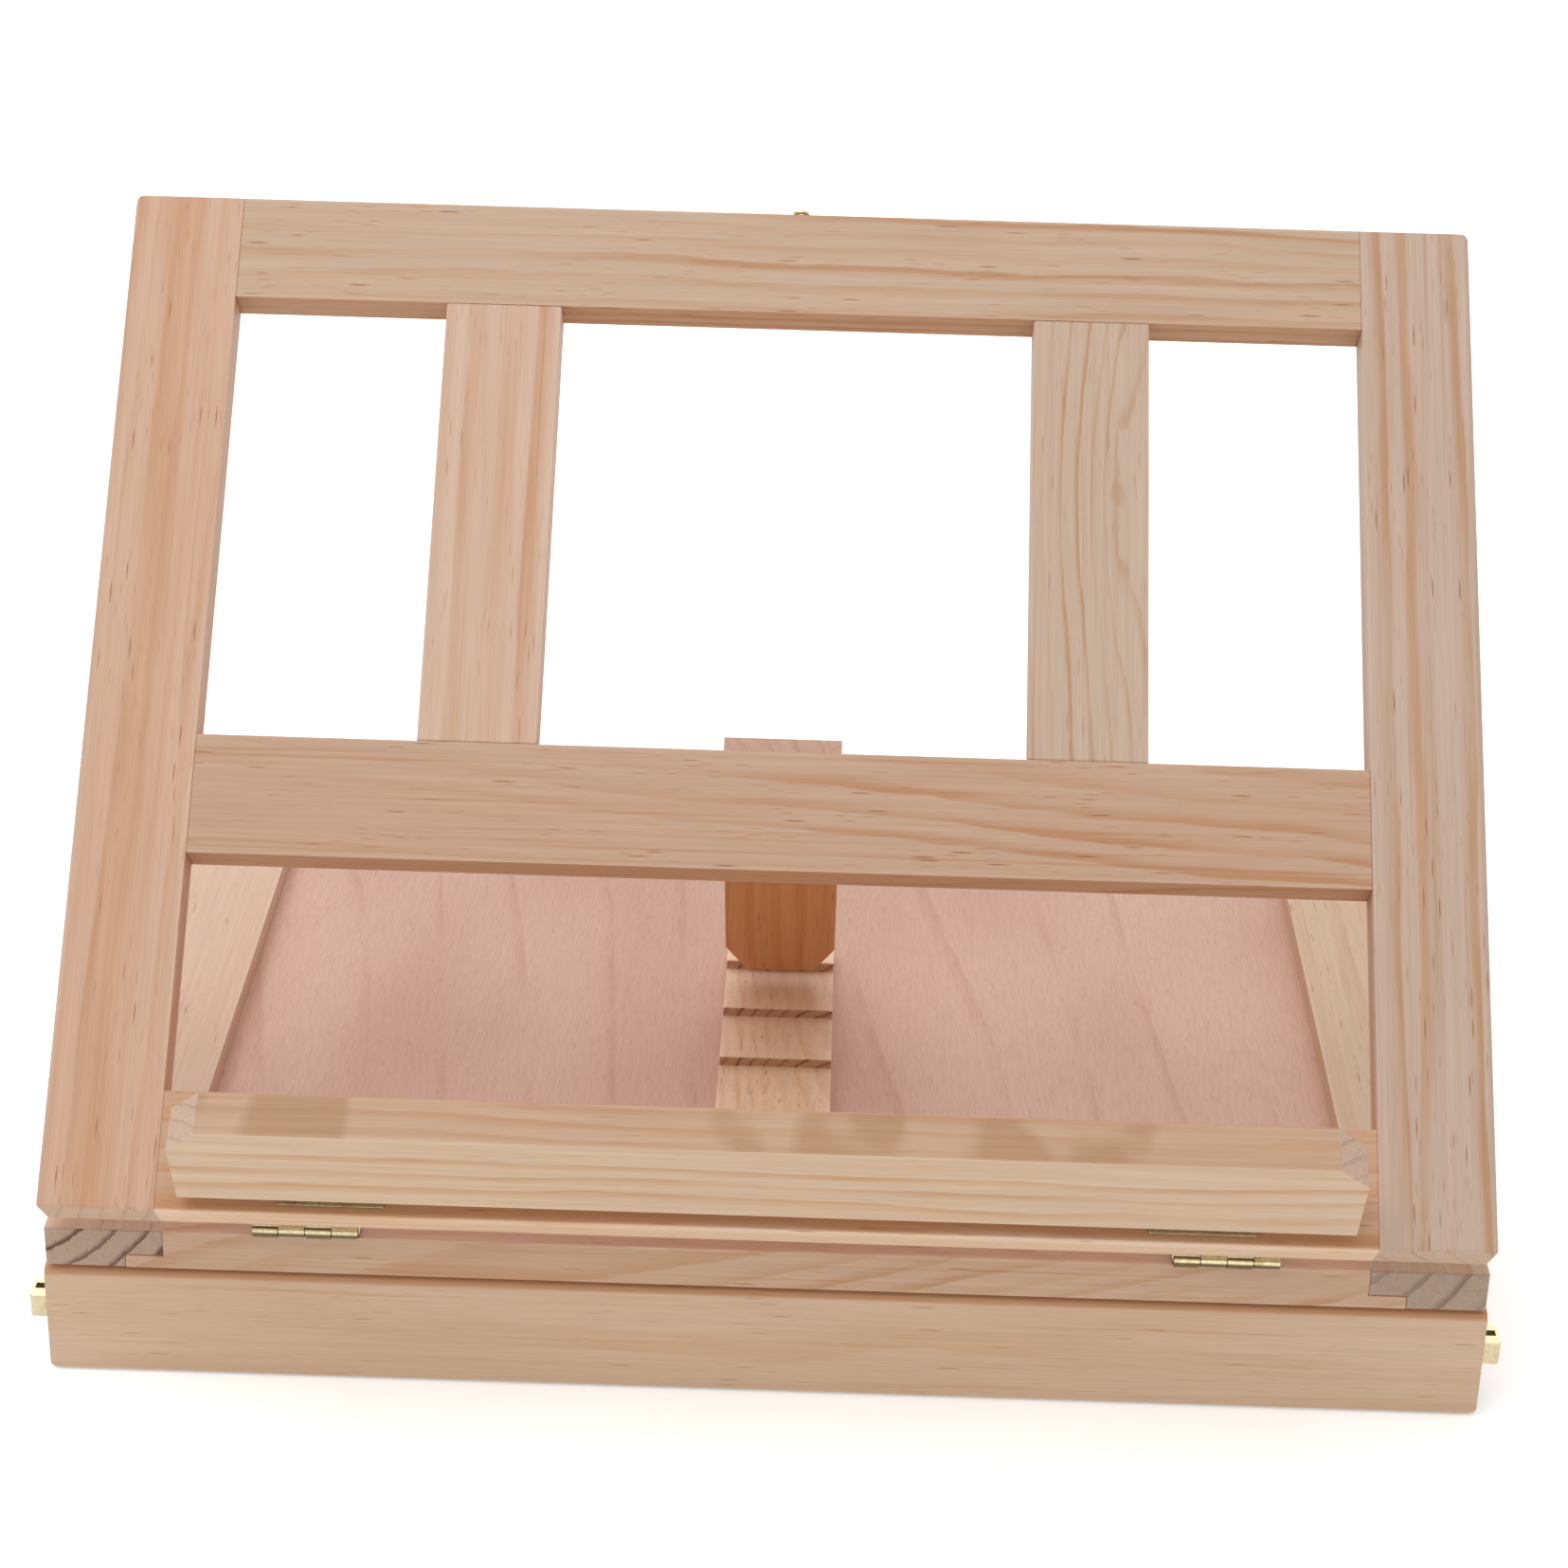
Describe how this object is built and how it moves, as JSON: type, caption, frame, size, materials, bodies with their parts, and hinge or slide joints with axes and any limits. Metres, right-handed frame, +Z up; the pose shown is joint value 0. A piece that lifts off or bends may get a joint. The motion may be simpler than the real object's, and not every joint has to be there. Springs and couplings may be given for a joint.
{
  "type": "table-top box easel",
  "caption": "Table-top easel: a pine box with a drawer, and on its lid a hinged frame with a folding ledge, held at a lean by a prop in a notched rack.",
  "frame": {"origin": "centre of the base's underside, on the table", "axes": "+X to the right as seen from the ledge side, +Y to the back, +Z up"},
  "size_m": [0.3492, 0.2873, 0.2394],
  "materials": {
    "pine": "planed pine, bare, satin",
    "ply": "beech plywood, bare, matt",
    "brass": "bright brass plate"
  },
  "bodies": {
    "base": {"side_rail_left": "pine", "side_rail_right": "pine", "front_rail": "pine", "back_rail": "pine", "panel": "ply", "rack": "pine", "box_side_left": "pine", "box_side_right": "pine", "box_back": "pine", "box_bottom": "ply", "base_leaf_left": "brass", "base_leaf_right": "brass", "base_hinge_pins": "brass", "base_leaf_screws": "brass", "side_hook_screws": "brass", "closing_hook_screw": "brass"},
    "drawer": {"drawer_front": "pine", "drawer_side_left": "pine", "drawer_side_right": "pine", "drawer_back": "pine", "drawer_bottom": "ply", "long_divider": "pine", "cross_divider": "pine", "keeper_left": "brass", "keeper_right": "brass", "keeper_screws": "brass"},
    "side_hook_left": {"side_hook_left": "brass"},
    "side_hook_right": {"side_hook_right": "brass"},
    "closing_hook": {"closing_hook": "brass"},
    "easel_frame": {"stile_left": "pine", "stile_right": "pine", "top_rail": "pine", "mid_rail": "pine", "bottom_rail": "pine", "slat_left": "pine", "slat_right": "pine", "frame_dowels": "pine", "frame_leaf_left": "brass", "frame_leaf_right": "brass", "frame_leaf_screws": "brass", "rail_leaf_left": "brass", "rail_leaf_right": "brass", "rail_leaf_screws": "brass", "ledge_hinge_pins": "brass", "prop_hinge_leaf": "brass", "prop_hinge_pin": "brass", "closing_stud": "brass"},
    "prop": {"prop": "pine", "prop_leaf": "brass", "prop_leaf_screws": "brass"},
    "ledge": {"ledge": "pine", "ledge_leaf_left": "brass", "ledge_leaf_right": "brass", "ledge_leaf_screws": "brass"}
  },
  "joints": [
    {"name": "frame_tilt", "type": "hinge", "parent": "base", "child": "easel_frame", "pos_m": [0, -0.132, 0.0419], "axis": [1, 0, 0], "range_deg": [-46, 24]},
    {"name": "prop_fold", "type": "hinge", "parent": "easel_frame", "child": "prop", "pos_m": [0, -0.05008, 0.12947], "axis": [1, 0, 0], "range_deg": [-54.5, 104.3]},
    {"name": "ledge_fold", "type": "hinge", "parent": "easel_frame", "child": "ledge", "pos_m": [0, -0.13212, 0.06092], "axis": [1, 0, 0], "range_deg": [-71, 0]},
    {"name": "drawer_slide", "type": "slide", "parent": "base", "child": "drawer", "axis": [0, -1, 0], "range_m": [0, 0.19]},
    {"name": "side_hook_left_swing", "type": "hinge", "parent": "base", "child": "side_hook_left", "pos_m": [-0.1723, -0.10375, 0.0232], "axis": [1, 0, 0], "range_deg": [0, 180]},
    {"name": "side_hook_right_swing", "type": "hinge", "parent": "base", "child": "side_hook_right", "pos_m": [0.1723, -0.10375, 0.0232], "axis": [1, 0, 0], "range_deg": [0, 180]},
    {"name": "closing_hook_swing", "type": "hinge", "parent": "base", "child": "closing_hook", "pos_m": [0, 0.132, 0.0348], "axis": [0, -1, 0], "range_deg": [0, 180]}
  ],
  "couplings": [
    {"joint": "prop_fold", "follows": "frame_tilt", "ratio": -2.2561}
  ]
}
